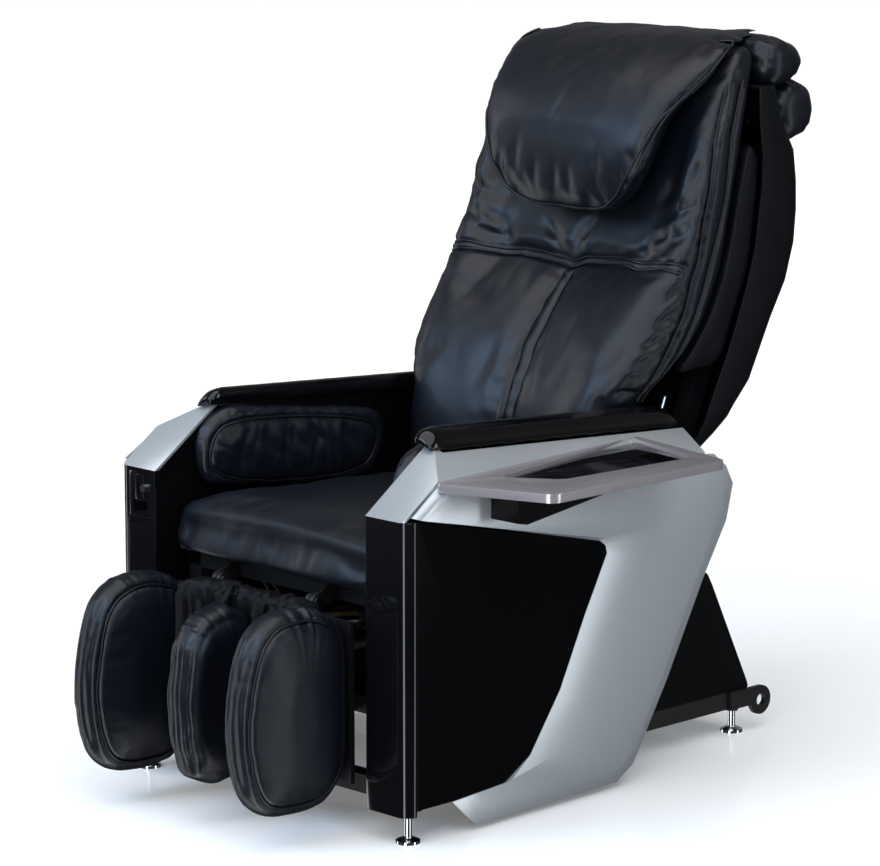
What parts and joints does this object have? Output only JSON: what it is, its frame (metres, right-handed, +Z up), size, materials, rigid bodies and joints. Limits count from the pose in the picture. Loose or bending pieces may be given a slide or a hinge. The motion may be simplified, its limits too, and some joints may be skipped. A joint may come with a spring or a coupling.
{
  "type": "coin-operated massage chair",
  "caption": "Padded reclining massage chair between two moulded side pods, with a coin unit, a side tray, a lifting calf rest and a roller drive in its back.",
  "frame": {"origin": "middle of the chair's footprint, on the floor under its feet", "axes": "+Z up, +Y from the sitter's knees to the backrest, +X to the sitter's left; the sitter faces -Y"},
  "size_m": [0.86, 1.2668, 1.1872],
  "materials": {
    "black_leather": "satin",
    "gloss_black": "gloss",
    "silver_paint": "satin",
    "tray_silver": "satin",
    "black_steel": "satin",
    "bright_steel": "polished",
    "chrome": "polished",
    "black_plastic": "satin",
    "board": "matte",
    "circuit": "matte",
    "roller_rubber": "matte"
  },
  "bodies": {
    "base": {"base_frame": "black_steel", "seat_frame": "black_steel", "hinge_pins": "bright_steel", "seat_board": "board", "seat_cushion": "black_leather", "pod_frames": "black_steel", "inner_panel_left": "gloss_black", "inner_panel_right": "gloss_black", "front_panel_left": "gloss_black", "front_panel_right": "gloss_black", "side_shell_left": "silver_paint", "side_shell_right": "silver_paint", "side_inset_left": "gloss_black", "side_inset_right": "gloss_black", "arm_cap_left": "gloss_black", "arm_cap_right": "gloss_black", "arm_pad_left": "black_leather", "arm_pad_right": "black_leather", "tray_frame": "tray_silver", "tray_insert": "gloss_black", "tray_bracket": "black_plastic", "coin_plate": "gloss_black", "coin_acceptor": "black_plastic", "return_cup": "black_steel", "cash_box": "black_steel", "rear_cover": "black_plastic", "power_supply": "bright_steel", "control_board": "circuit", "air_pump": "black_plastic", "levelling_feet": "chrome"},
    "back": {"back_frame": "black_steel", "guide_rods": "bright_steel", "lift_motor": "black_steel", "back_shell": "black_plastic", "back_cushion": "black_leather", "back_side_pads": "black_leather", "top_roll": "black_leather", "rear_bolster": "black_leather", "head_pillow": "black_leather"},
    "calf": {"calf_frame": "black_steel", "calf_wall_left": "black_leather", "calf_wall_right": "black_leather", "calf_divider": "black_leather", "calf_pad": "black_leather"},
    "reject": {"reject_button": "chrome"},
    "door": {"cash_door": "gloss_black"},
    "lock": {"door_lock": "chrome"},
    "screw": {"lift_screw": "bright_steel"},
    "carriage": {"carriage": "black_steel"},
    "arm_left": {"massage_arm_left": "black_steel"},
    "arm_right": {"massage_arm_right": "black_steel"},
    "roller_ul": {"roller_upper_left": "roller_rubber"},
    "roller_ll": {"roller_lower_left": "roller_rubber"},
    "roller_ur": {"roller_upper_right": "roller_rubber"},
    "roller_lr": {"roller_lower_right": "roller_rubber"},
    "back_cylinder": {"back_cylinder": "black_steel"},
    "back_rod": {"back_rod": "bright_steel"},
    "calf_cylinder": {"calf_cylinder": "black_steel"},
    "calf_rod": {"calf_rod": "bright_steel"}
  },
  "joints": [
    {"name": "back_recline", "type": "hinge", "parent": "base", "child": "back", "pos_m": [-0.087, 0.1745, 0.38], "axis": [-1, 0, 0], "range_deg": [0, 30]},
    {"name": "calf_lift", "type": "hinge", "parent": "base", "child": "calf", "pos_m": [-0.087, -0.3975, 0.348], "axis": [-1, 0, 0], "range_deg": [0, 75]},
    {"name": "back_cylinder_swing", "type": "hinge", "parent": "base", "child": "back_cylinder", "pos_m": [-0.132, -0.2755, 0.262], "axis": [1, 0, 0], "range_deg": [0, 1.4]},
    {"name": "back_rod_slide", "type": "slide", "parent": "back_cylinder", "child": "back_rod", "axis": [0, 0.9996, 0.0284], "range_m": [-0.0536, 0]},
    {"name": "calf_cylinder_swing", "type": "hinge", "parent": "base", "child": "calf_cylinder", "pos_m": [-0.027, -0.0055, 0.26], "axis": [1, 0, 0], "range_deg": [0, 0.1]},
    {"name": "calf_rod_slide", "type": "slide", "parent": "calf_cylinder", "child": "calf_rod", "axis": [0, -0.9919, 0.1273], "range_m": [0, 0.0545]},
    {"name": "carriage_lift", "type": "slide", "parent": "back", "child": "carriage", "axis": [0, 0.3907, 0.9205], "range_m": [0, 0.3]},
    {"name": "screw_turn", "type": "hinge", "parent": "back", "child": "screw", "pos_m": [-0.087, 0.3695, 0.6], "axis": [0, 0.3907, 0.9205], "range_deg": [0, 5401]},
    {"name": "tap_left", "type": "hinge", "parent": "carriage", "child": "arm_left", "pos_m": [-0.043, 0.35154, 0.62935], "axis": [1, 0, 0], "range_deg": [-8, 8]},
    {"name": "tap_right", "type": "hinge", "parent": "carriage", "child": "arm_right", "pos_m": [-0.131, 0.35154, 0.62935], "axis": [1, 0, 0], "range_deg": [-8, 8]},
    {"name": "spin_upper_left", "type": "hinge", "parent": "arm_left", "child": "roller_ul", "pos_m": [-0.027, 0.36243, 0.67036], "axis": [1, 0, 0], "continuous": true},
    {"name": "spin_lower_left", "type": "hinge", "parent": "arm_left", "child": "roller_ll", "pos_m": [-0.027, 0.32961, 0.59303], "axis": [1, 0, 0], "continuous": true},
    {"name": "spin_upper_right", "type": "hinge", "parent": "arm_right", "child": "roller_ur", "pos_m": [-0.147, 0.36243, 0.67036], "axis": [1, 0, 0], "continuous": true},
    {"name": "spin_lower_right", "type": "hinge", "parent": "arm_right", "child": "roller_lr", "pos_m": [-0.147, 0.32961, 0.59303], "axis": [1, 0, 0], "continuous": true},
    {"name": "reject_press", "type": "slide", "parent": "base", "child": "reject", "axis": [0, 1, 0], "range_m": [0, 0.003], "stiffness_N_per_m": 300, "springref_m": -0.001},
    {"name": "cash_door_swing", "type": "hinge", "parent": "base", "child": "door", "pos_m": [-0.3976, -0.4175, 0.262], "axis": [0, 0, -1], "range_deg": [0, 100]},
    {"name": "lock_turn", "type": "hinge", "parent": "door", "child": "lock", "pos_m": [-0.3623, -0.4175, 0.298], "axis": [0, 1, 0], "range_deg": [0, 90]}
  ],
  "couplings": [
    {"joint": "back_cylinder_swing", "follows": "back_recline", "ratio": 0.045},
    {"joint": "back_rod_slide", "follows": "back_recline", "m_per_rad": -0.10211},
    {"joint": "calf_cylinder_swing", "follows": "calf_lift", "ratio": 0.001},
    {"joint": "calf_rod_slide", "follows": "calf_lift", "m_per_rad": 0.04121},
    {"joint": "screw_turn", "follows": "carriage_lift", "rad_per_m": 314.16},
    {"joint": "tap_right", "follows": "tap_left", "ratio": -1}
  ]
}
